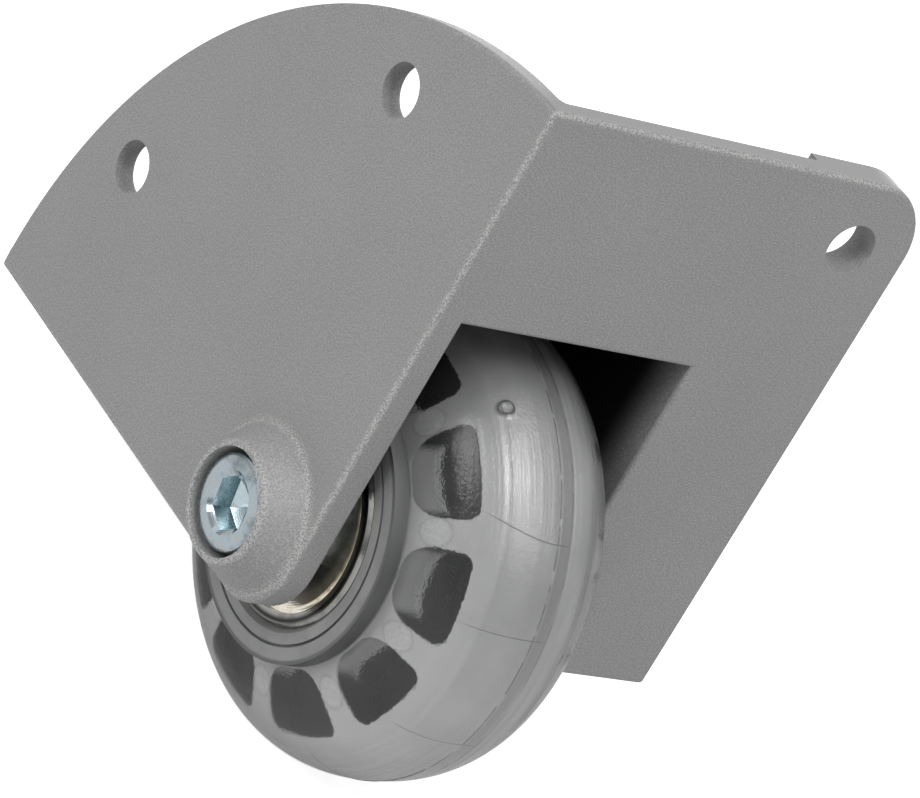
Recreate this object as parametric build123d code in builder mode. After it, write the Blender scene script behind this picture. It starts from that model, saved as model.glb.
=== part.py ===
from build123d import *
import math
import os

# A caster for the corner of a cabinet. A cast bracket hugs three faces of the
# cabinet: a quarter-disc side plate and two flanges at right angles. A wheel
# sits in a pocket at the bracket's outer corner and stands out of both flanges.
# The origin is the corner where the inner faces of those three plates meet. The
# cabinet fills -X, +Y and +Z, and the wheel's axle runs along +Y. All lengths
# are in millimetres.

os.makedirs("parts", exist_ok=True)

# Bracket
reach = 60.0
width = 49.4
wall = 2.2
pad_wall = 3.4
edge_radius = 0.5
rim_depth = 3.3
rim_corner_radius = 7.0
casting_radius = 1.0

# Axle, measured from the outer faces of the two flanges
axle_inset = 8.5
boss_height = 3.8
boss_rim = 0.55
boss_spread = 2.3
boss_edge_radius = 0.4
head_clearance = 0.55
screw_clearance = 0.2

# Screw holes for the cabinet: inwards from the arc or the edges, and up from a flange
side_hole_radius = 2.75
side_hole_inset = 7.25
side_hole_angle = 22.0
flange_hole_radius = 2.75
flange_hole_inset = 7.4

# Axle screw, with a low cylinder head and a hexagon socket
screw_radius = 3.0
screw_reach = 3.95
head_radius = 4.8
head_height = 4.0
head_chamfer = 0.7
head_recess = 0.45
socket_flats = 5.0
socket_depth = 2.6
socket_angle = 41.0
tip_chamfer = 0.6

# Nut and washer on the axle screw
washer_margin = 0.3
washer_thickness = 1.6
washer_step = 0.23
nut_hex_height = 4.6
nut_collar_radius = 4.35
nut_collar_height = 1.4
collar_wall = 0.45
insert_height = 1.2
nut_chamfer = 0.6

# Ball bearings, 8 x 22 x 7
bearing_bore_radius = 4.0
bearing_radius = 11.0
bearing_width = 7.0
ball_radius = 1.98
ball_count = 7
shoulder_rise = 0.5
bearing_chamfer = 0.35
running_clearance = 0.05
cage_thickness = 1.2
cage_web = 0.6
cage_lip = 1.1
shield_thickness = 0.25
shield_inset = 0.15
shield_lip = 1.4
shield_rim_width = 0.6
shield_dish = 0.35

# Spacers and sleeve on the axle screw
slip_fit = 0.02
spacer_wall = 1.6
side_spacer_length = 2.85

# Wheel
hub_width = 24.0
hub_radius = 14.5
hub_land = 1.7
hub_groove_width = 0.3
hub_groove_depth = 0.5
hub_bore_chamfer = 0.5
hub_shoulder = 1.5
disc_root_width = 19.7
disc_rim_width = 10.0
disc_web = 4.0
disc_edge_radius = 1.0
window_count = 10
window_angle = 27.0
window_foot = 0.1
window_rim = 1.8
window_corner_radius = 1.5
window_end_radius = 3.0
window_phase = 15.0
tyre_radius = 24.5
tyre_width = 20.6
tyre_exponent = 2.3
tread_thickness = 2.6
tyre_clearance = 3.7

# Places worked out from the sizes above
corner_x = wall
corner_z = -wall
axle_x = corner_x - axle_inset
axle_z = corner_z + axle_inset
pocket_radius = tyre_radius + tyre_clearance
pocket_width = hub_width + 2 * side_spacer_length
cheek_y = pocket_width + wall
wheel_y = pocket_width / 2
far_y = width - wall
pocket_reach = axle_inset + pocket_radius
pad_start = cheek_y + wall
counterbore_radius = head_radius + head_clearance
boss_face_radius = counterbore_radius + boss_rim
boss_base_radius = boss_face_radius + boss_spread
washer_radius = axle_inset - wall - washer_margin
nut_corner_radius = washer_radius - washer_step
insert_radius = nut_collar_radius - collar_wall
pitch_radius = (bearing_bore_radius + bearing_radius) / 2
inner_shoulder_radius = pitch_radius - ball_radius + shoulder_rise
outer_shoulder_radius = pitch_radius + ball_radius - shoulder_rise
shield_seat_radius = bearing_radius - shield_lip
spacer_radius = bearing_bore_radius + spacer_wall
hub_groove_radius = bearing_radius + hub_land
land_radius = bearing_radius - hub_shoulder
disc_radius = tyre_radius - tread_thickness
window_inner_radius = hub_radius + window_foot
window_outer_radius = disc_radius - window_rim
window_rounding = min(window_corner_radius, 0.2 * (window_outer_radius - window_inner_radius))
window_end_rounding = min(window_end_radius, 0.45 * window_inner_radius * math.radians(window_angle))
axle = Axis((axle_x, 0, axle_z), (0, 1, 0))
turning = Plane(origin=(axle_x, 0, axle_z))
outer_corner = Vector(corner_x, corner_z)


def across(y):
    """Plane across the axle, y inwards from the side plate's seat, with the row's X and Z."""
    return Plane.XZ.offset(-y)


def across_axle(y):
    """Plane across the axle with its origin on the axle, facing out of the side plate."""
    return Plane(origin=(axle_x, y, axle_z), x_dir=(1, 0, 0), z_dir=(0, -1, 0))


def block_outline(inwards, upwards):
    """Corners of a rectangle given by two pairs of distances from the outer corner."""
    return [
        outer_corner + Vector(-inwards[0], upwards[0]),
        outer_corner + Vector(-inwards[0], upwards[1]),
        outer_corner + Vector(-inwards[1], upwards[1]),
        outer_corner + Vector(-inwards[1], upwards[0]),
    ]


def pocket_corner(sketch):
    """The sketch's corner that lies furthest from the bracket's outer corner."""
    return sketch.vertices().group_by(Axis.X)[0].sort_by(Axis.Y)[-1]


# The bracket, one casting
with BuildPart() as bracket:
    # Side plate, a quarter disc about the outer corner
    with BuildSketch(across(-wall)):
        with BuildLine():
            Line(outer_corner, outer_corner + Vector(0, reach))
            CenterArc(outer_corner, reach, 90, 90)
            Line(outer_corner + Vector(-reach, 0), outer_corner)
        make_face()
    extrude(amount=-wall)
    # The two flanges, with a thicker pad round each one's screw hole
    with BuildSketch(across(-wall)):
        Polygon(*block_outline((0, wall), (0, reach)), align=None)
        Polygon(*block_outline((0, reach), (0, wall)), align=None)
    extrude(amount=-width)
    with BuildSketch(across(cheek_y)):
        Polygon(*block_outline((0, pad_wall), (pad_start, reach)), align=None)
        Polygon(*block_outline((pad_start, reach), (0, pad_wall)), align=None)
    extrude(amount=cheek_y - far_y)
    # Closed housing round the wheel, with its inner cheek
    with BuildSketch(across(0)) as housing_outline:
        Polygon(*block_outline((0, pocket_reach + wall), (0, pocket_reach + wall)), align=None)
        fillet(pocket_corner(housing_outline), pocket_radius + wall)
    extrude(amount=-cheek_y)
    housing_edges = bracket.edges(Select.LAST)
    housing_feet = housing_edges.filter_by_position(Axis.Y, 0, 0)
    housing_seams = housing_edges.filter_by(Axis.Y).filter_by_position(Axis.X, 0, 0)
    housing_seams += housing_edges.filter_by(Axis.Y).filter_by_position(Axis.Z, 0, 0)
    fillet(housing_feet + housing_seams, casting_radius)
    # Wheel pocket and its notch through both flanges
    with BuildSketch(across(rim_depth - wall)) as pocket_outline:
        Polygon(*block_outline((-wall, pocket_reach), (-wall, pocket_reach)), align=None)
        fillet(pocket_corner(pocket_outline), pocket_radius)
    extrude(amount=rim_depth - wall - pocket_width, mode=Mode.SUBTRACT)
    with BuildSketch(across(0)) as rim_outline:
        Polygon(*block_outline((wall, pocket_reach), (wall, pocket_reach)), align=None)
        fillet(pocket_corner(rim_outline), pocket_radius)
        fillet(rim_outline.vertices().group_by(Axis.X)[-1].sort_by(Axis.Y)[0], rim_corner_radius - wall)
    extrude(amount=wall - rim_depth, mode=Mode.SUBTRACT)
    # Rounded outer corner of the side plate
    fillet(
        bracket.edges().filter_by(Axis.Y).sort_by_distance((corner_x, -wall, corner_z))[0],
        rim_corner_radius,
    )
    # Rounded far corners of the flanges, about their screw holes
    for far_corner, along in (
        ((corner_x, far_y, corner_z + reach), Axis.X),
        ((corner_x - reach, far_y, corner_z), Axis.Z),
    ):
        fillet(bracket.edges().filter_by(along).sort_by_distance(far_corner)[0], flange_hole_inset)
    # Softened outer edges
    outer_faces = (
        bracket.faces().filter_by(Plane.XZ).sort_by(Axis.Y)[:1]
        + bracket.faces().filter_by(Plane.YZ).sort_by(Axis.X)[-1:]
        + bracket.faces().filter_by(Plane.XY).sort_by(Axis.Z)[:1]
    )
    fillet(outer_faces.edges(), edge_radius)
    # Tapered boss on the side plate
    with BuildSketch(turning):
        with BuildLine():
            Polyline(
                (0, -wall / 2),
                (boss_base_radius, -wall / 2),
                (boss_base_radius, -wall),
                (boss_face_radius, -wall - boss_height),
                (0, -wall - boss_height),
                close=True,
            )
        make_face()
    revolve(axis=axle)
    fillet(
        bracket.edges().filter_by(GeomType.CIRCLE).sort_by(Axis.Y)[:1],
        boss_edge_radius,
    )
    # Counterbored hole for the axle screw, and the hole in the cheek
    with Locations(across_axle(-wall - boss_height)):
        CounterBoreHole(
            radius=screw_radius + screw_clearance,
            counter_bore_radius=counterbore_radius,
            counter_bore_depth=head_recess + head_height,
            depth=boss_height + wall,
        )
    with Locations(across_axle(pocket_width)):
        Hole(radius=screw_radius + screw_clearance, depth=wall)
    # Screw holes in the side plate
    with Locations(across(-wall)):
        with Locations(outer_corner):
            with PolarLocations(
                reach - side_hole_inset,
                2,
                start_angle=90 + side_hole_angle,
                angular_range=90 - 2 * side_hole_angle,
                endpoint=True,
            ):
                Hole(radius=side_hole_radius, depth=wall)
    # One screw hole in each flange
    rear_face = Plane(origin=(corner_x, 0, 0), x_dir=(0, 1, 0), z_dir=(1, 0, 0))
    with Locations(rear_face):
        with Locations((far_y - flange_hole_inset, corner_z + reach - flange_hole_inset)):
            Hole(radius=flange_hole_radius, depth=pad_wall)
    bottom_face = Plane(origin=(0, 0, corner_z), x_dir=(1, 0, 0), z_dir=(0, 0, -1))
    with Locations(bottom_face):
        with Locations((corner_x - reach + flange_hole_inset, flange_hole_inset - far_y)):
            Hole(radius=flange_hole_radius, depth=pad_wall)
bracket.part.label = "bracket"
export_step(bracket.part, "parts/bracket.step")


# Axle screw with a low cylinder head
head_face_y = -wall - boss_height + head_recess
head_seat_y = head_face_y + head_height
nut_y = cheek_y + washer_thickness
collar_end_y = nut_y + nut_hex_height + nut_collar_height
screw_end_y = collar_end_y + screw_reach
with BuildPart() as axle_screw:
    with BuildSketch(turning):
        with BuildLine():
            Polyline(
                (0, head_face_y),
                (head_radius - head_chamfer, head_face_y),
                (head_radius, head_face_y + head_chamfer / 2),
                (head_radius, head_seat_y),
                (screw_radius, head_seat_y),
                (screw_radius, screw_end_y - tip_chamfer),
                (screw_radius - tip_chamfer, screw_end_y),
                (0, screw_end_y),
                close=True,
            )
        make_face()
    revolve(axis=axle)
    with BuildSketch(across_axle(head_face_y)):
        RegularPolygon(socket_flats / 2, 6, major_radius=False, rotation=socket_angle)
    extrude(amount=-socket_depth, mode=Mode.SUBTRACT)
axle_screw.part.label = "axle_screw"
export_step(axle_screw.part, "parts/axle_screw.step")

# Washer under the nut, on the back of the cheek
with BuildPart() as nut_washer:
    with BuildSketch(across_axle(cheek_y)):
        Circle(washer_radius)
        Circle(screw_radius + screw_clearance, mode=Mode.SUBTRACT)
    extrude(amount=-washer_thickness)
nut_washer.part.label = "nut_washer"
export_step(nut_washer.part, "parts/nut_washer.step")

# Lock nut: a chamfered hexagon with a round collar that holds a nylon ring
with BuildPart() as lock_nut:
    with BuildSketch(across_axle(nut_y)):
        RegularPolygon(nut_corner_radius, 6)
    extrude(amount=-(nut_hex_height + nut_collar_height))
    with BuildSketch(turning):
        with BuildLine():
            Polyline(
                (0, nut_y),
                (nut_corner_radius - nut_chamfer, nut_y),
                (nut_corner_radius, nut_y + nut_chamfer / 2),
                (nut_corner_radius, nut_y + nut_hex_height - nut_chamfer),
                (nut_collar_radius, nut_y + nut_hex_height),
                (nut_collar_radius, collar_end_y),
                (0, collar_end_y),
                close=True,
            )
        make_face()
    revolve(axis=axle, mode=Mode.INTERSECT)
    with Locations(across_axle(nut_y)):
        Hole(radius=screw_radius)
    with BuildSketch(across_axle(collar_end_y)):
        Circle(insert_radius)
    extrude(amount=insert_height, mode=Mode.SUBTRACT)
lock_nut.part.label = "lock_nut"
export_step(lock_nut.part, "parts/lock_nut.step")

with BuildPart() as nut_insert:
    with BuildSketch(across_axle(collar_end_y)):
        Circle(insert_radius)
        Circle(screw_radius, mode=Mode.SUBTRACT)
    extrude(amount=insert_height)
nut_insert.part.label = "nut_insert"
export_step(nut_insert.part, "parts/nut_insert.step")

# Sleeve that the bearings sit on, clamped between side plate and cheek
with BuildPart() as axle_sleeve:
    with BuildSketch(across_axle(0)):
        Circle(bearing_bore_radius - slip_fit)
        Circle(screw_radius + screw_clearance, mode=Mode.SUBTRACT)
    extrude(amount=-pocket_width)
axle_sleeve.part.label = "axle_sleeve"
export_step(axle_sleeve.part, "parts/axle_sleeve.step")

# Spacer rings on the sleeve: one outside each bearing and one between them
near_bearing_y = side_spacer_length
far_bearing_y = side_spacer_length + hub_width - bearing_width
for name, start, end in (
    ("near_spacer", 0, near_bearing_y),
    ("bearing_spacer", near_bearing_y + bearing_width, far_bearing_y),
    ("far_spacer", far_bearing_y + bearing_width, pocket_width),
):
    with BuildPart() as spacer:
        with BuildSketch(across_axle(start)):
            Circle(spacer_radius)
            Circle(bearing_bore_radius, mode=Mode.SUBTRACT)
        extrude(amount=start - end)
    spacer.part.label = name
    export_step(spacer.part, f"parts/{name}.step")


# Two shielded ball bearings
groove_radius = ball_radius + running_clearance
shield_seat_width = shield_inset + shield_dish + 2 * shield_thickness
for side, middle, outward in (
    ("near", near_bearing_y + bearing_width / 2, -1),
    ("far", far_bearing_y + bearing_width / 2, 1),
):
    low = middle - bearing_width / 2
    high = middle + bearing_width / 2

    # Outer ring with its ball groove and the two shield seats
    with BuildPart() as outer_ring:
        with BuildSketch(turning):
            with BuildLine():
                Polyline(
                    (shield_seat_radius, low),
                    (bearing_radius - bearing_chamfer, low),
                    (bearing_radius, low + bearing_chamfer),
                    (bearing_radius, high - bearing_chamfer),
                    (bearing_radius - bearing_chamfer, high),
                    (shield_seat_radius, high),
                    (shield_seat_radius, high - shield_seat_width),
                    (outer_shoulder_radius, high - shield_seat_width),
                    (outer_shoulder_radius, low + shield_seat_width),
                    (shield_seat_radius, low + shield_seat_width),
                    close=True,
                )
            make_face()
            with Locations((pitch_radius, middle)):
                Circle(groove_radius, mode=Mode.SUBTRACT)
        revolve(axis=axle)
    outer_ring.part.label = f"{side}_outer_ring"
    export_step(outer_ring.part, f"parts/{side}_outer_ring.step")

    # Inner ring on the sleeve
    with BuildPart() as inner_ring:
        with BuildSketch(turning):
            with BuildLine():
                Polyline(
                    (bearing_bore_radius + bearing_chamfer, low),
                    (inner_shoulder_radius, low),
                    (inner_shoulder_radius, high),
                    (bearing_bore_radius + bearing_chamfer, high),
                    (bearing_bore_radius, high - bearing_chamfer),
                    (bearing_bore_radius, low + bearing_chamfer),
                    close=True,
                )
            make_face()
            with Locations((pitch_radius, middle)):
                Circle(groove_radius, mode=Mode.SUBTRACT)
        revolve(axis=axle)
    inner_ring.part.label = f"{side}_inner_ring"
    export_step(inner_ring.part, f"parts/{side}_inner_ring.step")

    # Balls
    with BuildPart() as balls:
        with Locations(across_axle(middle)):
            with PolarLocations(pitch_radius, ball_count):
                Sphere(ball_radius)
    balls.part.label = f"{side}_balls"
    export_step(balls.part, f"parts/{side}_balls.step")

    # Crown cage: a ring with open ball pockets, closed by a web on its inner side
    web_end = middle - outward * (groove_radius + cage_web)
    open_end = middle + outward * cage_lip
    with BuildPart() as cage:
        with BuildSketch(turning):
            with Locations((pitch_radius, (web_end + open_end) / 2)):
                Rectangle(cage_thickness, abs(open_end - web_end))
        revolve(axis=axle)
        with Locations(across_axle(middle)):
            with PolarLocations(pitch_radius, ball_count):
                Sphere(groove_radius, mode=Mode.SUBTRACT)
    cage.part.label = f"{side}_cage"
    export_step(cage.part, f"parts/{side}_cage.step")

    # Pressed shields, dished at their rim where they sit in the outer ring
    for place, facing in (("outer", outward), ("inner", -outward)):
        face = middle + facing * (bearing_width / 2 - shield_inset)
        with BuildPart() as shield:
            with BuildSketch(turning):
                with BuildLine():
                    Polyline(
                        (inner_shoulder_radius + 2 * running_clearance, face),
                        (shield_seat_radius - shield_rim_width, face),
                        (shield_seat_radius - shield_rim_width, face - facing * shield_dish),
                        (shield_seat_radius, face - facing * shield_dish),
                        (shield_seat_radius, face - facing * (shield_dish + shield_thickness)),
                        (
                            shield_seat_radius - shield_rim_width - shield_thickness,
                            face - facing * (shield_dish + shield_thickness),
                        ),
                        (
                            shield_seat_radius - shield_rim_width - shield_thickness,
                            face - facing * shield_thickness,
                        ),
                        (inner_shoulder_radius + 2 * running_clearance, face - facing * shield_thickness),
                        close=True,
                    )
                make_face()
            revolve(axis=axle)
        shield.part.label = f"{side}_{place}_shield"
        export_step(shield.part, f"parts/{side}_{place}_shield.step")


def tyre_profile(share):
    """Point of the tyre's outline: a superellipse from side to side, share from -1 to 1."""
    rise = (1 - abs(share) ** tyre_exponent) ** (1 / tyre_exponent)
    radius = hub_radius + (tyre_radius - hub_radius) * rise
    return (radius, wheel_y + share * tyre_width / 2)


# Wheel hub: a moulded core with bearing seats and a disc that tapers to its rim. Each side of the
# disc has a ring of blind windows, round at their inner ends, down to a thin web.
hub_low = wheel_y - hub_width / 2
hub_high = wheel_y + hub_width / 2
half_window = window_angle / 2
with BuildSketch() as window:
    with BuildLine():
        CenterArc((0, 0), window_outer_radius, -half_window, window_angle)
        CenterArc((0, 0), window_inner_radius, -half_window, window_angle)
        for side_angle in (-half_window, half_window):
            Line(
                Vector(window_inner_radius, 0).rotate(Axis.Z, side_angle),
                Vector(window_outer_radius, 0).rotate(Axis.Z, side_angle),
            )
    make_face()
    fillet(window.vertices().sort_by_distance((0, 0, 0))[:2], window_end_rounding)
    fillet(window.vertices().sort_by_distance((0, 0, 0))[-2:], window_rounding)
with BuildPart() as wheel_hub:
    with BuildSketch(turning):
        with BuildLine():
            Polyline(
                (bearing_radius + hub_bore_chamfer, hub_low),
                (hub_radius, hub_low),
                (hub_radius, wheel_y - disc_root_width / 2),
                (disc_radius, wheel_y - disc_rim_width / 2),
                (disc_radius, wheel_y + disc_rim_width / 2),
                (hub_radius, wheel_y + disc_root_width / 2),
                (hub_radius, hub_high),
                (bearing_radius + hub_bore_chamfer, hub_high),
                (bearing_radius, hub_high - hub_bore_chamfer),
                (bearing_radius, hub_high - bearing_width),
                (land_radius, hub_high - bearing_width),
                (land_radius, hub_low + bearing_width),
                (bearing_radius, hub_low + bearing_width),
                (bearing_radius, hub_low + hub_bore_chamfer),
                close=True,
            )
        make_face()
        with Locations(
            (hub_groove_radius, hub_low + hub_groove_depth / 2),
            (hub_groove_radius, hub_high - hub_groove_depth / 2),
        ):
            Rectangle(hub_groove_width, hub_groove_depth, mode=Mode.SUBTRACT)
    revolve(axis=axle)
    disc_edges = wheel_hub.edges().filter_by(GeomType.CIRCLE).group_by(SortBy.RADIUS)[-1]
    fillet(disc_edges, disc_edge_radius)
    for outwards in (1, -1):
        with BuildSketch(across_axle(wheel_y - outwards * disc_web / 2)):
            with PolarLocations(0, window_count, start_angle=window_phase):
                add(window.sketch)
        extrude(amount=outwards * (disc_root_width - disc_web) / 2, mode=Mode.SUBTRACT)
wheel_hub.part.label = "wheel_hub"
export_step(wheel_hub.part, "parts/wheel_hub.step")

# Tyre moulded over the hub's disc and through its windows
with BuildPart() as tyre:
    with BuildSketch(turning):
        with BuildLine():
            outline = Spline(
                *[tyre_profile(math.sin(math.radians(a))) for a in range(-90, 91, 15)],
                tangents=[(1, 0), (-1, 0)],
            )
            Line(outline @ 0, outline @ 1)
        make_face()
    revolve(axis=axle)
    add(wheel_hub.part, mode=Mode.SUBTRACT)
tyre.part.label = "tyre"
export_step(tyre.part, "parts/tyre.step")
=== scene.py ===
import math

import bmesh
import bpy
import numpy as np
from mathutils import Matrix, Vector


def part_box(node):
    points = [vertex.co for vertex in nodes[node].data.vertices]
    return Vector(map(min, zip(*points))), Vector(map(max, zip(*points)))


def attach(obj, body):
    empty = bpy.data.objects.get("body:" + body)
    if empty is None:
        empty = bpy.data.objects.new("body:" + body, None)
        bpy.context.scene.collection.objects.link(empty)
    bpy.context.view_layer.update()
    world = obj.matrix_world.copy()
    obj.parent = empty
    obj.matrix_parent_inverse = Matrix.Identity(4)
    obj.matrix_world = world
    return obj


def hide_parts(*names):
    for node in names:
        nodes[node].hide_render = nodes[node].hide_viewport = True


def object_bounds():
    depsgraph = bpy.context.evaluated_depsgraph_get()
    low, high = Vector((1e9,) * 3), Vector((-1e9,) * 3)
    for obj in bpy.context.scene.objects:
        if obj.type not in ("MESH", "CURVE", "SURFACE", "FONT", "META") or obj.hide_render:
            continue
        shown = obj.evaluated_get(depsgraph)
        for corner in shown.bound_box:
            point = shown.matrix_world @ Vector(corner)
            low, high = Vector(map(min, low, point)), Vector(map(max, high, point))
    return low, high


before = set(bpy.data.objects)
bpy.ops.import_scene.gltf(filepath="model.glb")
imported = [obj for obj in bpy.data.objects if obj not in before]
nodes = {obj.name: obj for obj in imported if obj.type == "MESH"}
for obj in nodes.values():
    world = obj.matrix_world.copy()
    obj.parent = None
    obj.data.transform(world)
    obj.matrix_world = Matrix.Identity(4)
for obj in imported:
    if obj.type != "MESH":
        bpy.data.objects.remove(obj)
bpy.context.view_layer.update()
MM = 0.001

# Bracket
# One casting of zinc alloy, the side plate and both flanges with the wheel's housing behind them.
# It is powder coated in grey with a fine orange-peel grain. A painted highlight runs along the
# outer edges, the end faces are painted darker as shade, and the pocket is painted near black as shade.
coat_grey = (0.345, 0.345, 0.345, 1)
coat_cloud_grey = (0.325, 0.325, 0.325, 1)
coat_speck_light = (0.410, 0.410, 0.407, 1)
coat_speck_dark = (0.280, 0.280, 0.280, 1)
coat_edge_highlight_grey = (0.560, 0.560, 0.550, 1)
coat_end_shade_grey = (0.270, 0.270, 0.270, 1)
coat_pocket_shade_grey = (0.004, 0.004, 0.004, 1)
coat_roughness = 0.55
coat_gloss = 0.35
coat_clouds_per_metre = 60.0
grain_size = 0.17 * MM
grain_height = 0.03 * MM
edge_band = 0.8 * MM
end_face_depth = 0.25 * MM
end_face_skin = 0.02 * MM
boss_height = 3.8 * MM
boss_radius = 8.2 * MM
counterbore_rim = 5.8 * MM
counterbore_fade = 0.6 * MM
rim_face_y = -0.4 * MM
cheek_back_y = 30.8 * MM
housing_middle_radius = 29.3 * MM
shade_start = 0.2 * MM
shade_end = 6.0 * MM

wheel_low, wheel_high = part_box("tyre")
axle_x = (wheel_low.x + wheel_high.x) / 2
axle_z = (wheel_low.z + wheel_high.z) / 2
wheel_y = (wheel_low.y + wheel_high.y) / 2


def feed(tree, socket, value):
    """Sets an input to a plain value, or joins it to another node's socket."""
    if isinstance(value, bpy.types.NodeSocket):
        tree.links.new(value, socket)
    else:
        socket.default_value = value


def node_link(tree, out_node, out_name, in_node, in_name):
    """Joins one socket to another by their names or numbers."""
    tree.links.new(out_node.outputs[out_name], in_node.inputs[in_name])


def maths(tree, operation, *values):
    """A Math node whose inputs are sockets or plain numbers."""
    node = tree.nodes.new("ShaderNodeMath")
    node.operation = operation
    for socket, value in zip(node.inputs, values):
        feed(tree, socket, value)
    return node.outputs[0]


def product(tree, first, *others):
    """Sockets or numbers multiplied together."""
    for other in others:
        first = maths(tree, "MULTIPLY", first, other)
    return first


def highest(tree, first, *others):
    """The largest of some sockets or numbers."""
    for other in others:
        first = maths(tree, "MAXIMUM", first, other)
    return first


def minus(tree, first, second):
    """The second value taken from the first."""
    return maths(tree, "SUBTRACT", first, second)


def hypotenuse(tree, first, second):
    """The square root of the sum of two squares."""
    squares = maths(tree, "ADD", product(tree, first, first), product(tree, second, second))
    return maths(tree, "SQRT", squares)


def ramp(tree, value, low, high):
    """A smooth step of a value: 0 at low and 1 at high, and low may be the larger of the two."""
    node = tree.nodes.new("ShaderNodeMapRange")
    node.interpolation_type = "SMOOTHSTEP"
    tree.links.new(value, node.inputs["Value"])
    node.inputs["From Min"].default_value = low
    node.inputs["From Max"].default_value = high
    return node.outputs["Result"]


def closeness(tree, value, level, band):
    """1 where a coordinate is at a level, falling to 0 a band away."""
    return ramp(tree, maths(tree, "ABSOLUTE", minus(tree, value, level)), band, 0.0)


def noise(tree, scale, detail=1.5, roughness=0.6):
    """Noise over the object's own coordinates; the scale is a socket or a number for each metre."""
    place = tree.nodes.new("ShaderNodeTexCoord")
    texture = tree.nodes.new("ShaderNodeTexNoise")
    texture.inputs["Detail"].default_value = detail
    texture.inputs["Roughness"].default_value = roughness
    node_link(tree, place, "Object", texture, "Vector")
    feed(tree, texture.inputs["Scale"], scale)
    return texture.outputs[0]


def place_parts(tree, space="Object"):
    """The object's own X, Y and Z as three sockets, or those of a direction in the world."""
    place = tree.nodes.new("ShaderNodeTexCoord")
    split = tree.nodes.new("ShaderNodeSeparateXYZ")
    node_link(tree, place, space, split, "Vector")
    return split.outputs["X"], split.outputs["Y"], split.outputs["Z"]


def new_group(name, inputs, outputs):
    """An empty node group with sockets named by (name, type, default) and its two end nodes."""
    group = bpy.data.node_groups.new(name, "ShaderNodeTree")
    for label, kind, default in inputs:
        socket = group.interface.new_socket(label, in_out="INPUT", socket_type=kind)
        socket.default_value = default
    for label, kind in outputs:
        group.interface.new_socket(label, in_out="OUTPUT", socket_type=kind)
    return group, group.nodes.new("NodeGroupInput"), group.nodes.new("NodeGroupOutput")


def add_bump(tree, height, distance, normal=None):
    """A Bump node over a height from 0 to 1, the distance a socket or metres, on top of a normal."""
    bump = tree.nodes.new("ShaderNodeBump")
    bump.inputs["Strength"].default_value = 1.0
    tree.links.new(height, bump.inputs["Height"])
    feed(tree, bump.inputs["Distance"], distance)
    if normal is not None:
        tree.links.new(normal, bump.inputs["Normal"])
    return bump.outputs["Normal"]


def make_grain_group():
    """Fine lumps of a sprayed or cast skin: two sizes of noise added up, as a normal and as a mask."""
    group, start, end = new_group(
        "surface_grain",
        [("Size", "NodeSocketFloat", 0.3 * MM), ("Height", "NodeSocketFloat", 0.03 * MM)],
        [("Normal", "NodeSocketVector"), ("Mask", "NodeSocketFloat")],
    )
    scale = maths(group, "DIVIDE", 1.0, start.outputs["Size"])
    fine = noise(group, scale)
    coarse = noise(group, product(group, scale, 0.31), 1.0)
    lumps = maths(group, "ADD", product(group, fine, 0.7), product(group, coarse, 0.3))
    group.links.new(add_bump(group, lumps, start.outputs["Height"]), end.inputs["Normal"])
    group.links.new(lumps, end.inputs["Mask"])
    return group


def make_axle_group():
    """Place about the wheel's axle: the radius in metres and the angle in degrees from -180 to 180."""
    group, _, end = new_group(
        "about_axle", [], [("Radius", "NodeSocketFloat"), ("Angle", "NodeSocketFloat")]
    )
    x, _, z = place_parts(group)
    across = minus(group, x, axle_x)
    upwards = minus(group, z, axle_z)
    angle = product(group, maths(group, "ARCTAN2", upwards, across), 180 / math.pi)
    group.links.new(hypotenuse(group, across, upwards), end.inputs["Radius"])
    group.links.new(angle, end.inputs["Angle"])
    return group


grain_group = make_grain_group()
axle_group = make_axle_group()


def place_group(tree, group, **values):
    """Puts a node group into a material and sets its inputs."""
    node = tree.nodes.new("ShaderNodeGroup")
    node.node_tree = group
    for name, value in values.items():
        node.inputs[name].default_value = value
    return node


def place_about_axle(tree):
    """The radius and the angle about the axle as two sockets."""
    about = place_group(tree, axle_group)
    return about.outputs["Radius"], about.outputs["Angle"]


def new_material(name, color, roughness, metallic=0.0):
    """A material with its Principled shader's plain values set."""
    material = bpy.data.materials.new(name)
    material.use_nodes = True
    shader = material.node_tree.nodes["Principled BSDF"]
    shader.inputs["Base Color"].default_value = color
    shader.inputs["Roughness"].default_value = roughness
    shader.inputs["Metallic"].default_value = metallic
    return material, material.node_tree, shader


def mix_color(tree, share, first, second):
    """A Mix node between two colours, each a socket or four numbers."""
    node = tree.nodes.new("ShaderNodeMix")
    node.data_type = "RGBA"
    tree.links.new(share, node.inputs["Factor"])
    for name, value in (("A", first), ("B", second)):
        feed(tree, [s for s in node.inputs if s.name == name and s.type == "RGBA"][0], value)
    return [s for s in node.outputs if s.type == "RGBA"][0]


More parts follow.
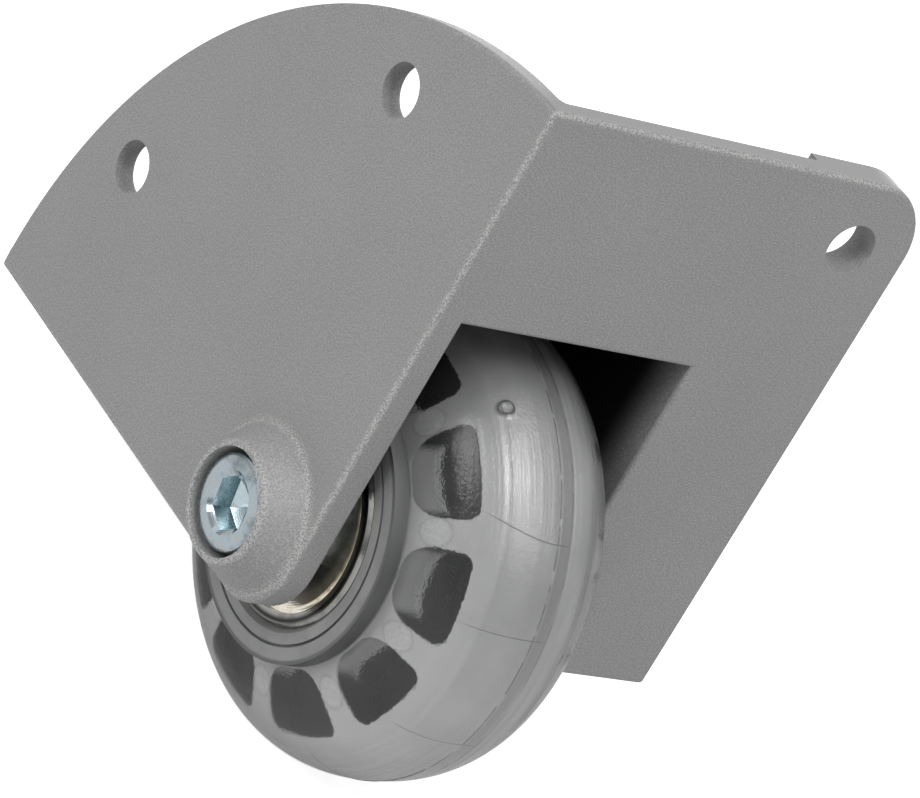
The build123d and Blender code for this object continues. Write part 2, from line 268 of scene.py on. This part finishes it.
def coat_material():
    """Powder coat: grey with soft clouds and fine specks, a painted highlight at the edges, painted shade
    in the pocket.

    An edge is where a point is close to two of the bracket's outer planes, or to the rim of the
    boss. The pocket is where the radius about the axle is under the housing's, counted only on
    its round side, and its shade deepens with the depth below the two flanges' outer faces.
    """
    material, tree, shader = new_material("powder_coat", coat_grey, coat_roughness)
    shader.inputs["Specular IOR Level"].default_value = coat_gloss
    grain = place_group(tree, grain_group, Size=grain_size, Height=grain_height)
    node_link(tree, grain, "Normal", shader, "Normal")
    specks = noise(tree, 1 / grain_size, 1.0)
    x, y, z = place_parts(tree)
    radius, _ = place_about_axle(tree)
    low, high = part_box("bracket")

    near_rear = closeness(tree, x, high.x, edge_band)
    near_side = closeness(tree, y, low.y + boss_height, edge_band)
    near_bottom = closeness(tree, z, low.z, edge_band)
    rim = ramp(tree, radius, counterbore_rim + counterbore_fade, counterbore_rim)
    # Painted highlight: the edge mask paints the rounded outer edges and the boss's rims lighter
    edge = highest(
        tree,
        product(tree, near_rear, near_side),
        product(tree, near_bottom, near_side),
        product(tree, closeness(tree, radius, boss_radius, edge_band), near_side),
        product(tree, rim, closeness(tree, y, low.y, edge_band)),
        product(tree, near_rear, closeness(tree, z, high.z, edge_band)),
        product(tree, near_bottom, closeness(tree, x, low.x, edge_band)),
    )

    clouds = ramp(tree, noise(tree, coat_clouds_per_metre, 3.0), 0.35, 0.65)
    body = mix_color(tree, clouds, coat_grey, coat_cloud_grey)
    body = mix_color(tree, ramp(tree, specks, 0.50, 0.36), body, coat_speck_dark)
    body = mix_color(tree, ramp(tree, specks, 0.52, 0.66), body, coat_speck_light)
    # Painted shade: the flanges' end faces are painted darker, holding back the light that falls on them
    ends = highest(tree, ramp(tree, z, high.z - end_face_depth, high.z - end_face_skin),
                   ramp(tree, x, low.x + end_face_depth, low.x + end_face_skin))
    body = mix_color(tree, ends, body, coat_end_shade_grey)
    # The painted highlight goes on as lighter specks along the edges
    body = mix_color(tree, product(tree, edge, ramp(tree, specks, 0.44, 0.60)), body, coat_edge_highlight_grey)

    # Painted shade: inside the wheel's pocket the coat is painted near black, deeper below the flanges'
    # outer faces
    inwards = highest(tree, minus(tree, axle_x, x), 0.0)
    upwards = highest(tree, minus(tree, z, axle_z), 0.0)
    within = product(
        tree,
        maths(tree, "LESS_THAN", hypotenuse(tree, inwards, upwards), housing_middle_radius),
        maths(tree, "GREATER_THAN", y, rim_face_y),
        maths(tree, "LESS_THAN", y, cheek_back_y),
    )
    depth = maths(tree, "MINIMUM", minus(tree, high.x, x), minus(tree, z, low.z))
    shade = product(tree, within, ramp(tree, depth, shade_start, shade_end))
    tree.links.new(mix_color(tree, shade, body, coat_pocket_shade_grey), shader.inputs["Base Color"])
    return material


def dress(name, material):
    """Gives a CAD node its material."""
    slots = nodes[name].data.materials
    slots.clear()
    slots.append(material)


dress("bracket", coat_material())

# Axle screw
# A zinc-plated M6 screw with a low cylinder head and a hexagon socket, cold headed, with a rolled
# thread. Nut, washer, sleeve and spacers are plated like it.
zinc_blue = (0.43, 0.50, 0.54, 1)
zinc_straw = (0.50, 0.49, 0.42, 1)
zinc_deep = (0.09, 0.115, 0.13, 1)
socket_reflection_blue = (0.54, 0.65, 0.685, 1)
plate_grain_size = 0.35 * MM
plate_grain_height = 0.012 * MM
turning_pitch = 0.22 * MM
head_radius = 4.8 * MM
head_height = 4.0 * MM
head_chamfer = 0.7 * MM
shank_radius = 3.0 * MM
socket_apothem = 2.5 * MM
socket_mouth = 3.20 * MM
socket_chamfer = 0.42 * MM
socket_depth = 2.6 * MM
socket_cone = 0.9 * MM
socket_angle = 41.0
socket_corner = 2.86 * MM
socket_reflection_start = 0.15 * MM
socket_reflection_end = 0.9 * MM
thread_pitch = 1.0 * MM
thread_depth = 0.54 * MM
thread_length = 22.0 * MM
tip_length = 0.6 * MM
screw_steps = 144
corner_bevel = 0.06 * MM
sharp_angle = 35.0


def grid_mesh(name, points, closed_along=False):
    """Quads over a grid of points, rows by columns, closed across and, if asked, along the rows.

    Points that fall together, as at a pole, are merged. Faces are flipped where the volume that
    they enclose, a third of the sum of corner dot area, comes out negative.
    """
    rows, columns = points.shape[:2]
    i, j = np.meshgrid(np.arange(rows if closed_along else rows - 1), np.arange(columns), indexing="ij")
    k, m = (i + 1) % rows, (j + 1) % columns
    faces = np.stack([i * columns + j, i * columns + m, k * columns + m, k * columns + j], axis=-1)
    faces = faces.reshape(-1, 4)
    centre = points.reshape(-1, 3).mean(axis=0)
    corners = points.reshape(-1, 3)[faces] - centre
    volume = np.einsum("ij,ij->", corners[:, 0], np.cross(corners[:, 1], corners[:, 2]))
    volume += np.einsum("ij,ij->", corners[:, 0], np.cross(corners[:, 2], corners[:, 3]))
    if volume < 0:
        faces = faces[:, ::-1]
    mesh = bpy.data.meshes.new(name)
    mesh.from_pydata(points.reshape(-1, 3).tolist(), [], faces.tolist())
    shell = bmesh.new()
    shell.from_mesh(mesh)
    bmesh.ops.remove_doubles(shell, verts=shell.verts, dist=0.001 * MM)
    shell.to_mesh(mesh)
    shell.free()
    mesh.polygons.foreach_set("use_smooth", np.ones(len(mesh.polygons), bool))
    mesh.set_sharp_from_angle(angle=math.radians(sharp_angle))
    mesh.update()
    piece = bpy.data.objects.new(name, mesh)
    bpy.context.scene.collection.objects.link(piece)
    return piece


def about_axle(radius, y, angle):
    """Points at a radius, a Y and an angle in radians about the axle, as arrays of one shape."""
    x = axle_x + radius * np.cos(angle)
    z = axle_z + radius * np.sin(angle)
    return np.stack([x, y + 0 * angle, z], axis=-1)


screw_low, screw_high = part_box("axle_screw")
head_face_y = screw_low.y
head_seat_y = head_face_y + head_height
thread_start_y = screw_high.y - thread_length
angle = np.radians(socket_angle) + np.linspace(0, 2 * np.pi, screw_steps, endpoint=False)
# A hexagon's radius is its apothem over the cosine of the turn from the middle of the nearest flat
side_turn = np.mod(angle - np.radians(socket_angle), np.pi / 3) - np.pi / 6
hexagon = socket_apothem / np.cos(side_turn)
floor_y = head_face_y + socket_depth
# The screw as a turned profile of (radius, Y), from the socket's cone out over the mouth's chamfer
# and the head's rounded edge to the seat and the shank
profile = [
    (0, floor_y + socket_cone),
    (0.55 * hexagon, floor_y + 0.45 * socket_cone),
    (hexagon - corner_bevel, floor_y),
    (hexagon, floor_y - corner_bevel),
    (hexagon, head_face_y + socket_chamfer),
    (np.maximum(hexagon, socket_mouth), head_face_y),
    (socket_mouth + corner_bevel, head_face_y),
    (head_radius - head_chamfer, head_face_y),
    (head_radius - 0.45 * head_chamfer, head_face_y + 0.10 * head_chamfer),
    (head_radius - 0.12 * head_chamfer, head_face_y + 0.32 * head_chamfer),
    (head_radius, head_face_y + 0.65 * head_chamfer),
    (head_radius, head_seat_y - corner_bevel),
    (head_radius - corner_bevel, head_seat_y),
    (shank_radius, head_seat_y),
    (shank_radius, thread_start_y - thread_pitch),
]
tip = [(shank_radius - tip_length, screw_high.y), (0, screw_high.y)]
# The thread's radius is a triangle wave of Y in pitches less the turn, with flats at root and crest
thread_y = np.arange(thread_start_y, screw_high.y, thread_pitch / 10)[:, None]
wave = np.abs(np.mod((thread_y - head_face_y) / thread_pitch + angle / (2 * np.pi), 1.0) - 0.5) * 2
cut = thread_depth * np.clip(1.25 * wave - 0.125, 0, 1)
run_in = np.clip((thread_y - thread_start_y) / thread_pitch, 0, 1)
run_out = np.clip((screw_high.y - thread_y) / tip_length, 0, 1)
thread_radius = np.minimum(shank_radius - run_in * cut, shank_radius - (1 - run_out) * tip_length)
screw = grid_mesh("threaded_screw", np.concatenate([
    [about_axle(radius, y, angle) for radius, y in profile],
    about_axle(thread_radius, thread_y, angle[None, :] + 0 * thread_y),
    [about_axle(radius, y, angle) for radius, y in tip],
]))


def turned_bump(tree, pitch, height, normal):
    """Fine rings about the axle, as a turning tool leaves them, over another normal."""
    radius, _ = place_about_axle(tree)
    rings = maths(tree, "SINE", product(tree, radius, 2 * math.pi / pitch))
    return add_bump(tree, maths(tree, "MULTIPLY_ADD", rings, 0.5, 0.5), height, normal)


def plated_material(name, light, dark, straw, roughness, ring_height):
    """Bright plate: cloudy between two tones with a straw tint in patches, and faint turned rings."""
    material, tree, shader = new_material(name, light, roughness, 1.0)
    grain = place_group(tree, grain_group, Size=plate_grain_size, Height=plate_grain_height)
    normal = turned_bump(tree, turning_pitch, ring_height, grain.outputs["Normal"])
    tree.links.new(normal, shader.inputs["Normal"])
    clouds = product(tree, ramp(tree, noise(tree, 420.0, 3.0), 0.52, 0.30), 0.55)
    patches = product(tree, ramp(tree, noise(tree, 900.0, 2.0), 0.52, 0.72), 0.6)
    tone = mix_color(tree, patches, mix_color(tree, clouds, light, dark), straw)
    tree.links.new(tone, shader.inputs["Base Color"])
    rough = maths(tree, "MULTIPLY_ADD", grain.outputs["Mask"], 0.22, roughness - 0.09)
    tree.links.new(rough, shader.inputs["Roughness"])
    return material, tree, shader, tone


zinc, tree, shader, tone = plated_material("zinc_plate", zinc_blue, zinc_deep, zinc_straw, 0.24, 0.004 * MM)
# Inside the socket the plate is painted lighter and bluer, a painted reflection
_, screw_y, _ = place_parts(tree)
screw_radius, _ = place_about_axle(tree)
socket_reflection = product(
    tree,
    ramp(tree, screw_radius, shank_radius, socket_corner),
    ramp(tree, screw_y, head_face_y + socket_reflection_start, head_face_y + socket_reflection_end),
    maths(tree, "LESS_THAN", screw_y, head_seat_y),
)
tree.links.new(mix_color(tree, socket_reflection, tone, socket_reflection_blue), shader.inputs["Base Color"])
screw.data.materials.append(zinc)
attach(screw, "bracket_body")
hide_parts("axle_screw")
for name in ("lock_nut", "nut_washer", "axle_sleeve", "near_spacer", "far_spacer", "bearing_spacer"):
    dress(name, zinc)

# Bearings
# Two shielded ball bearings: ground and polished rings and balls, pressed steel shields with a warm
# shine, moulded cages. The lock nut's ring is of the same pale nylon as the cages.
steel_light = (0.34, 0.335, 0.32, 1)
steel_dark = (0.16, 0.16, 0.155, 1)
ring_face_shade_dark = (0.030, 0.030, 0.029, 1)
ring_face_radius = 10.3 * MM
ring_face_half = 0.55 * MM
shield_warm = (0.95, 0.90, 0.79, 1)
shield_straw = (0.62, 0.55, 0.42, 1)
nylon_pale = (0.70, 0.68, 0.60, 1)
nylon_shade = (0.52, 0.50, 0.43, 1)
moulded_grain_size = 0.2 * MM

steel, tree, shader, tone = plated_material(
    "bearing_steel", steel_light, steel_dark, steel_light, 0.16, 0.003 * MM
)
# The end faces of the outer rings are painted dark between their two chamfers, as painted shade
steel_radius, _ = place_about_axle(tree)
ring_face_shade = closeness(tree, steel_radius, ring_face_radius, ring_face_half)
tree.links.new(mix_color(tree, ring_face_shade, tone, ring_face_shade_dark), shader.inputs["Base Color"])
shield_steel = plated_material("shield_steel", shield_warm, shield_straw, shield_straw, 0.2, 0.006 * MM)[0]


def moulded_material(name, light, shade, roughness, height):
    """Moulded plastic: soft clouds of two tones and a fine eroded skin from the mould."""
    material, tree, shader = new_material(name, light, roughness)
    grain = place_group(tree, grain_group, Size=moulded_grain_size, Height=height)
    node_link(tree, grain, "Normal", shader, "Normal")
    clouds = maths(tree, "MULTIPLY_ADD", noise(tree, 260.0, 2.0), 0.7,
                   product(tree, grain.outputs["Mask"], 0.3))
    tone = mix_color(tree, ramp(tree, clouds, 0.62, 0.38), light, shade)
    tree.links.new(tone, shader.inputs["Base Color"])
    return material, tree, shader, tone


nylon = moulded_material("nylon", nylon_pale, nylon_shade, 0.5, 0.01 * MM)[0]
for side in ("near", "far"):
    for name in ("outer_ring", "inner_ring", "balls"):
        dress(f"{side}_{name}", steel)
    for name in ("outer_shield", "inner_shield"):
        dress(f"{side}_{name}", shield_steel)
    dress(f"{side}_cage", nylon)
dress("nut_insert", nylon)

# Wheel hub
# The core of the wheel, injection moulded in grey. Ten windows on each side of its disc are
# painted dark as shade, with painted light and painted highlights on their walls and lips; the
# collar's outer wall is painted darker as shade; each spoke between the windows has a round
# ejector mark.
hub_grey = (0.290, 0.293, 0.291, 1)
hub_shade_grey = (0.245, 0.248, 0.246, 1)
hub_collar_shade_grey = (0.115, 0.117, 0.117, 1)
disc_grey = (0.68, 0.685, 0.68, 1)
window_lip_highlight_grey = (0.86, 0.865, 0.86, 1)
window_wall_lit_grey = (0.60, 0.605, 0.60, 1)
window_foot_highlight_grey = (0.95, 0.955, 0.95, 1)
window_floor_shade_grey = (0.018, 0.019, 0.020, 1)
mark_grey = (0.80, 0.805, 0.80, 1)
hub_radius = 14.5 * MM
disc_radius = 21.9 * MM
disc_root_half = 9.85 * MM
disc_rim_half = 5.0 * MM
disc_web_half = 2.0 * MM
window_outer_radius = 20.1 * MM
window_count = 10
window_phase = 15.0
window_margin = 0.1 * MM
# The inner wall of a window is painted lit from this height above the web up, with a painted highlight line
# at its foot and painted shade below
lit_wall_height = 3.2 * MM
lit_foot_band = 0.55 * MM
mark_radius = 1.35 * MM
mark_place = 16.9 * MM
mark_ring_band = 0.16 * MM

hub_plastic, tree, shader, tone = moulded_material(
    "hub_plastic", hub_grey, hub_shade_grey, 0.42, 0.008 * MM
)


def hub_colours(tree, tone):
    """Colours of the hub by place: the end rings with painted shade on the collar, the disc, its windows
    with painted shade and painted light, and ejector marks.

    The depth below the disc's faces and the radius about the axle tell a window's floor and walls
    from the disc. The angle about the axle, folded to one spoke, gives the marks.
    """
    _, y, _ = place_parts(tree)
    radius, turn = place_about_axle(tree)
    off = maths(tree, "ABSOLUTE", minus(tree, y, wheel_y))
    taper = (disc_rim_half - disc_root_half) / (disc_radius - hub_radius)
    face = maths(tree, "MULTIPLY_ADD", radius, taper, disc_root_half - taper * hub_radius)
    depth = minus(tree, face, off)
    height = minus(tree, off, disc_web_half)

    # Painted shade: the collar's outer wall, just inside the hub's radius, is painted dark
    collar_shade = ramp(tree, radius, hub_radius - 0.55 * MM, hub_radius - 0.25 * MM)
    tone = mix_color(tree, collar_shade, tone, hub_collar_shade_grey)
    disc = product(tree, ramp(tree, radius, hub_radius - 0.15 * MM, hub_radius),
                   ramp(tree, depth, -0.6 * MM, -0.1 * MM))
    tone = mix_color(tree, disc, tone, disc_grey)

    pitch = 360.0 / window_count
    from_spoke = maths(tree, "ADD", turn, 360.0 - window_phase - pitch / 2)
    spoke = product(tree, maths(tree, "PINGPONG", from_spoke, pitch / 2), math.pi / 180)
    apart = hypotenuse(tree, product(tree, spoke, mark_place), minus(tree, radius, mark_place))
    on_face = ramp(tree, depth, 0.3 * MM, 0.1 * MM)
    mark = product(tree, ramp(tree, apart, mark_radius, mark_radius - 0.3 * MM), on_face,
                   ramp(tree, noise(tree, 3500.0, 1.0), 0.35, 0.62))
    tone = mix_color(tree, mark, tone, mark_grey)
    mark_ring = product(tree, closeness(tree, apart, mark_radius, mark_ring_band), on_face, 0.30)
    tone = mix_color(tree, mark_ring, tone, hub_shade_grey)

    in_window = product(
        tree,
        maths(tree, "GREATER_THAN", radius, hub_radius - window_margin),
        maths(tree, "LESS_THAN", radius, window_outer_radius + window_margin),
    )
    # Painted highlight: a light line along each window's lip
    lip_highlight = product(tree, in_window, closeness(tree, depth, 0.25 * MM, 0.3 * MM))
    tone = mix_color(tree, lip_highlight, tone, window_lip_highlight_grey)
    # Painted shade: inside a window the floor and walls are painted near black
    window_shade = product(tree, in_window, ramp(tree, depth, 0.15 * MM, 0.5 * MM))
    tone = mix_color(tree, window_shade, tone, window_floor_shade_grey)
    # Painted light on the upper part of each window's inner wall
    inner = product(tree, window_shade, ramp(tree, radius, hub_radius + 1.5 * MM, hub_radius + 0.6 * MM))
    lit = product(tree, inner, ramp(tree, height, lit_wall_height - 0.5 * MM, lit_wall_height))
    tone = mix_color(tree, lit, tone, window_wall_lit_grey)
    # Painted highlight: a bright line along the foot of the lit part of the wall
    foot_highlight = product(tree, inner, closeness(tree, height, lit_wall_height, lit_foot_band))
    return mix_color(tree, foot_highlight, tone, window_foot_highlight_grey)


tree.links.new(hub_colours(tree, tone), shader.inputs["Base Color"])
dress("wheel_hub", hub_plastic)

# Tyre
# Translucent grey urethane, cast over the hub's disc in a mould of two halves. A thin flash stands
# at the mould's parting line, fine flow lines run up to it, and a gate mark sits on one shoulder.
urethane_tint = (0.80, 0.805, 0.80, 1)
urethane_cloud = (0.70, 0.705, 0.70, 1)
urethane_line = (0.16, 0.16, 0.155, 1)
urethane_strip_shade = (0.42, 0.42, 0.415, 1)
urethane_rim = (0.20, 0.203, 0.20, 1)
urethane_gate = (0.14, 0.14, 0.138, 1)
urethane_clear = 0.97
urethane_roughness = 0.17
urethane_ior = 1.48
tyre_exponent = 2.3
tyre_radius = (wheel_high.x - wheel_low.x) / 2
tyre_half_width = (wheel_high.y - wheel_low.y) / 2
tyre_steps = 660
tyre_rows = 89
tyre_sunk = 0.4 * MM
flash_height = 0.07 * MM
flash_width = 0.09 * MM
mould_step = 0.04 * MM
gate_angle = 64.6
gate_y = 9.69 * MM
gate_radius = 0.70 * MM
gate_height = 0.26 * MM
gate_lip = 0.22 * MM
gate_dimple = 0.34 * MM
# Each flow line's angle in degrees, and its bend in degrees at 1 mm from the parting line
flow_lines = ((34.0, 0.10), (12.0, 0.0), (-19.5, -0.04), (-53.0, -0.03), (-89.0, 0.05), (-125.0, 0.0),
              (-160.0, -0.06), (164.0, 0.04), (129.0, -0.03), (96.0, 0.06))
flow_start = 7.0 * MM
flow_width = 0.075 * MM
seam_off = 0.14 * MM
seam_band = 0.15 * MM
second_seam_off = 1.45 * MM
second_seam_band = 0.24 * MM
strip_width = 1.7 * MM
ripple_pitch = 1.3 * MM
ripple_height = 0.15 * MM
wave_height = 0.05 * MM
skin_grain_size = 0.3 * MM
skin_grain_height = 0.006 * MM
line_depth = 0.08 * MM

# The section is half of a superellipse over the width: rise = (1 - |share|^n)^(1/n). Its points are
# denser at both ends and across the flash
share = np.sin(np.linspace(-np.pi / 2, np.pi / 2, tyre_rows))
parting = np.array([-3.0, -1.6, -1.0, -0.45, 0.0, 0.45, 1.0, 1.6, 3.0]) * flash_width / tyre_half_width
share = np.sort(np.concatenate([share[np.abs(share) > 4 * flash_width / tyre_half_width], parting]))
rise = (1 - np.abs(share) ** tyre_exponent) ** (1 / tyre_exponent)
skin_y = (wheel_y + share * tyre_half_width)[:, None]
skin_angle = np.linspace(0, 2 * np.pi, tyre_steps, endpoint=False)[None, :]
# A flash of uneven height: two slow waves and one fast one along the parting line
unevenness = (0.62 + 0.2 * np.sin(5 * skin_angle + 1.0) + 0.12 * np.sin(17 * skin_angle)
              + 0.06 * np.sin(61 * skin_angle))
flash = flash_height * unevenness * np.exp(-((skin_y - wheel_y) / flash_width) ** 2)
outer = tyre_radius - flash_height - mould_step * (skin_y > wheel_y)
skin_radius = hub_radius + (outer - hub_radius) * rise[:, None] + flash
# The gate mark: a low ring with a dimple in it, both bell curves of the distance from its middle
gate_across = (np.mod(skin_angle - np.radians(gate_angle) + np.pi, 2 * np.pi) - np.pi) * 0.95 * tyre_radius
gate_off = np.hypot(gate_across, (skin_y - gate_y) * 1.3)
gate_ring = np.exp(-((gate_off - gate_radius) / gate_lip) ** 2)
skin_radius = skin_radius + gate_height * (gate_ring - 0.9 * np.exp(-((gate_off / gate_dimple) ** 2)))
skin = about_axle(skin_radius, skin_y, skin_angle + 0 * skin_y)
edges = [about_axle(hub_radius - tyre_sunk + 0 * skin_angle, skin_y[i], skin_angle) for i in (0, -1)]
tyre_skin = grid_mesh("tyre_skin", np.concatenate([edges[0], skin, edges[1]]), closed_along=True)

urethane, tree, shader = new_material("tyre_urethane", urethane_tint, urethane_roughness)
shader.inputs["Transmission Weight"].default_value = urethane_clear
shader.inputs["IOR"].default_value = urethane_ior


def flow_marks(tree, y, radius, turn):
    """Thin flow lines near the parting line, and the broken dark line of the parting itself.

    A flow line is where the angle about the axle, times the radius, is within the line's width of
    the line's own angle, which bends with the square of the distance from the parting line.
    """
    from_middle = maths(tree, "DIVIDE", minus(tree, wheel_y, y), MM)
    squared = product(tree, from_middle, from_middle)
    lines = 0.0
    for line_angle, bend in flow_lines:
        shift = minus(tree, turn, maths(tree, "MULTIPLY_ADD", squared, bend, line_angle))
        wide = product(tree, maths(tree, "ABSOLUTE", shift), math.pi / 180, radius)
        lines = highest(tree, lines, ramp(tree, wide, flow_width, 0.25 * flow_width))
    lines = product(tree, lines, ramp(tree, y, flow_start, flow_start + 1.5 * MM),
                    ramp(tree, y, wheel_y + 1.8 * MM, wheel_y + 0.6 * MM))
    seam = product(tree, closeness(tree, y, wheel_y - seam_off, seam_band),
                   ramp(tree, noise(tree, 700.0), 0.34, 0.5))
    second = product(tree, closeness(tree, y, wheel_y + second_seam_off, second_seam_band),
                     ramp(tree, noise(tree, 350.0), 0.25, 0.6), 0.75)
    return highest(tree, lines, seam, second)


def skin_ripple(tree, y):
    """Uneven rings round the tyre from the mould's turning: noise of Y alone, in ripple pitches."""
    ripple = tree.nodes.new("ShaderNodeTexNoise")
    ripple.noise_dimensions = "1D"
    ripple.inputs["Scale"].default_value = 1.0
    ripple.inputs["Detail"].default_value = 2.0
    tree.links.new(maths(tree, "DIVIDE", y, ripple_pitch), ripple.inputs["W"])
    return ripple.outputs[0]


def urethane_surface(tree, shader):
    """Cast urethane: a cloudy tint, deeper towards the rim, a band past the parting line painted darker as
    a painted reflection, dark marks and a slightly wavy skin.
    """
    _, y, _ = place_parts(tree)
    radius, turn = place_about_axle(tree)
    marks = flow_marks(tree, y, radius, turn)
    clouds = ramp(tree, noise(tree, 190.0, 3.0), 0.40, 0.66)
    tone = mix_color(tree, clouds, urethane_tint, urethane_cloud)
    # Painted reflection: a band just past the parting line is painted darker, for the darker reflection on
    # the mould's step
    strip_shade = product(tree, ramp(tree, y, wheel_y, wheel_y + 0.3 * MM),
                    ramp(tree, y, wheel_y + strip_width, wheel_y + strip_width - 0.5 * MM))
    tone = mix_color(tree, strip_shade, tone, urethane_strip_shade)
    facing = tree.nodes.new("ShaderNodeLayerWeight")
    facing.inputs["Blend"].default_value = 0.5
    tone = mix_color(tree, ramp(tree, facing.outputs["Facing"], 0.30, 0.85), tone, urethane_rim)
    along = product(tree, minus(tree, turn, gate_angle), math.pi / 180 * tyre_radius)
    from_gate = hypotenuse(tree, along, minus(tree, y, gate_y))
    tone = mix_color(tree, closeness(tree, from_gate, gate_radius, 0.4 * MM), tone, urethane_gate)
    tree.links.new(mix_color(tree, marks, tone, urethane_line), shader.inputs["Base Color"])

    waves = add_bump(tree, noise(tree, 240.0, 2.0), wave_height)
    waves = add_bump(tree, skin_ripple(tree, y), ripple_height, waves)
    grain = place_group(tree, grain_group, Size=skin_grain_size, Height=skin_grain_height)
    level = minus(tree, 0.75, product(tree, marks, 0.75))
    height = maths(tree, "MULTIPLY_ADD", grain.outputs["Mask"], 0.9, level)
    tree.links.new(add_bump(tree, height, line_depth, waves), shader.inputs["Normal"])


urethane_surface(tree, shader)
tyre_skin.data.materials.append(urethane)
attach(tyre_skin, "wheel")
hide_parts("tyre")

# Camera
# Placed by the photograph: the camera's place, its three directions and its lens come from the
# edges of the side plate and of the rear flange.
camera_data = bpy.data.cameras.new("camera")
camera = bpy.data.objects.new("camera", camera_data)
bpy.context.scene.collection.objects.link(camera)
bpy.context.scene.camera = camera
camera_data.lens = 211.33
camera_data.sensor_width = 36.0
camera_data.clip_start = 0.01
camera_data.clip_end = 20.0
camera_place = Vector((335.264, -312.452, 222.934)) * MM
camera_right = Vector((0.45158, 0.76066, 0.46633))
camera_up = Vector((-0.59439, -0.13331, 0.79305))
camera_back = camera_right.cross(camera_up)
camera_turn = Matrix((camera_right, camera_up, camera_back)).transposed().to_4x4()
camera.matrix_world = Matrix.Translation(camera_place) @ camera_turn

# Floor and light
# A plain white floor under the wheel, a white surround, and three soft lamps: before the side plate,
# high over the rear flange, and low at the back. Floor and surround are white to the camera and
# through the tyre, and weaker in all other light.
floor_half = 3.0
floor_grey = (0.85, 0.85, 0.85, 1)
floor_roughness = 0.9
floor_white = 0.78
floor_deep_white = 0.40
floor_gloss_white = 0.20
seen_depth = 2.5
surround_level = 0.22
horizon_level = 0.15
ceiling_level = 0.80
soft_box_direction = Vector((0.50, 0.10, 0.80)).normalized()
soft_box_edge = 0.77
soft_box_core = 0.96
soft_box_level = 4.2

floor_mesh = bpy.data.meshes.new("floor")
floor_mesh.from_pydata(
    [(x, y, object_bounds()[0].z) for x, y in ((-floor_half, -floor_half), (floor_half, -floor_half),
                                           (floor_half, floor_half), (-floor_half, floor_half))],
    [], [(0, 1, 2, 3)]
)
floor = bpy.data.objects.new("floor", floor_mesh)
bpy.context.scene.collection.objects.link(floor)
floor_paint, tree, shader = new_material("floor_paint", floor_grey, floor_roughness)
shader.inputs["Specular IOR Level"].default_value = 0.0
shader.inputs["Emission Color"].default_value = (1, 1, 1, 1)
path = tree.nodes.new("ShaderNodeLightPath").outputs
seen = highest(tree, path["Is Camera Ray"], path["Is Transmission Ray"])
# A ray that has met more than two surfaces finds the floor half as bright
fresh = maths(tree, "LESS_THAN", path["Ray Depth"], seen_depth)
white = maths(tree, "MULTIPLY_ADD", fresh, floor_white - floor_deep_white, floor_deep_white)
glossy = product(tree, path["Is Glossy Ray"], floor_gloss_white)
tree.links.new(maths(tree, "ADD", product(tree, seen, white), glossy), shader.inputs["Emission Strength"])
floor_mesh.materials.append(floor_paint)

world = bpy.data.worlds.new("surround")
bpy.context.scene.world = world
world.use_nodes = True
tree = world.node_tree
background = tree.nodes["Background"]
background.inputs["Color"].default_value = (1, 1, 1, 1)
path = tree.nodes.new("ShaderNodeLightPath").outputs
# In reflections the surround is brighter overhead than at the horizon, as a studio's ceiling is
overhead = ramp(tree, place_parts(tree, "Generated")[2], -0.15, 0.55)
glossy_level = maths(tree, "MULTIPLY_ADD", overhead, ceiling_level, horizon_level)
# A broad soft box high on the right, seen in reflections alone: bright where the direction's dot
# product with the box's own direction is near 1
box_dot = tree.nodes.new("ShaderNodeVectorMath")
box_dot.operation = "DOT_PRODUCT"
node_link(tree, tree.nodes.new("ShaderNodeTexCoord"), "Generated", box_dot, 0)
box_dot.inputs[1].default_value = soft_box_direction
soft_box = ramp(tree, box_dot.outputs["Value"], soft_box_edge, soft_box_core)
glossy_level = maths(tree, "MULTIPLY_ADD", soft_box, soft_box_level, glossy_level)
# The surround is full white to a ray that has met two surfaces at most, and reflections count only
# where they leave the object without having gone through the tyre
seen = product(tree, highest(tree, path["Is Camera Ray"], path["Is Transmission Ray"]),
               maths(tree, "LESS_THAN", path["Ray Depth"], seen_depth))
plain_level = maths(tree, "MULTIPLY_ADD", seen, 1 - surround_level, surround_level)
outside = maths(tree, "LESS_THAN", path["Transmission Depth"], 0.5)
glossy = product(tree, path["Is Glossy Ray"], outside)
level = maths(tree, "ADD", product(tree, glossy, glossy_level),
              product(tree, minus(tree, 1.0, glossy), plain_level))
tree.links.new(level, background.inputs["Strength"])


def add_lamp(name, place, size, power):
    """A square soft lamp at a place, turned to the middle of the caster; lengths are in metres."""
    data = bpy.data.lights.new(name, "AREA")
    data.size = size
    data.energy = power
    lamp = bpy.data.objects.new(name, data)
    bpy.context.scene.collection.objects.link(lamp)
    lamp.location = place
    lamp.rotation_mode = "QUATERNION"
    lamp.rotation_quaternion = (lamp_aim - Vector(place)).to_track_quat("-Z", "Y")


lamp_aim = Vector((-0.015, 0.015, 0.015))
add_lamp("key_lamp", (-0.02, -0.76, 0.54), 0.50, 3.3)
add_lamp("top_lamp", (0.46, -0.02, 0.82), 0.40, 4.0)
add_lamp("back_lamp", (-0.62, 0.62, 0.06), 0.50, 3.0)

bpy.context.scene.view_settings.view_transform = "Standard"
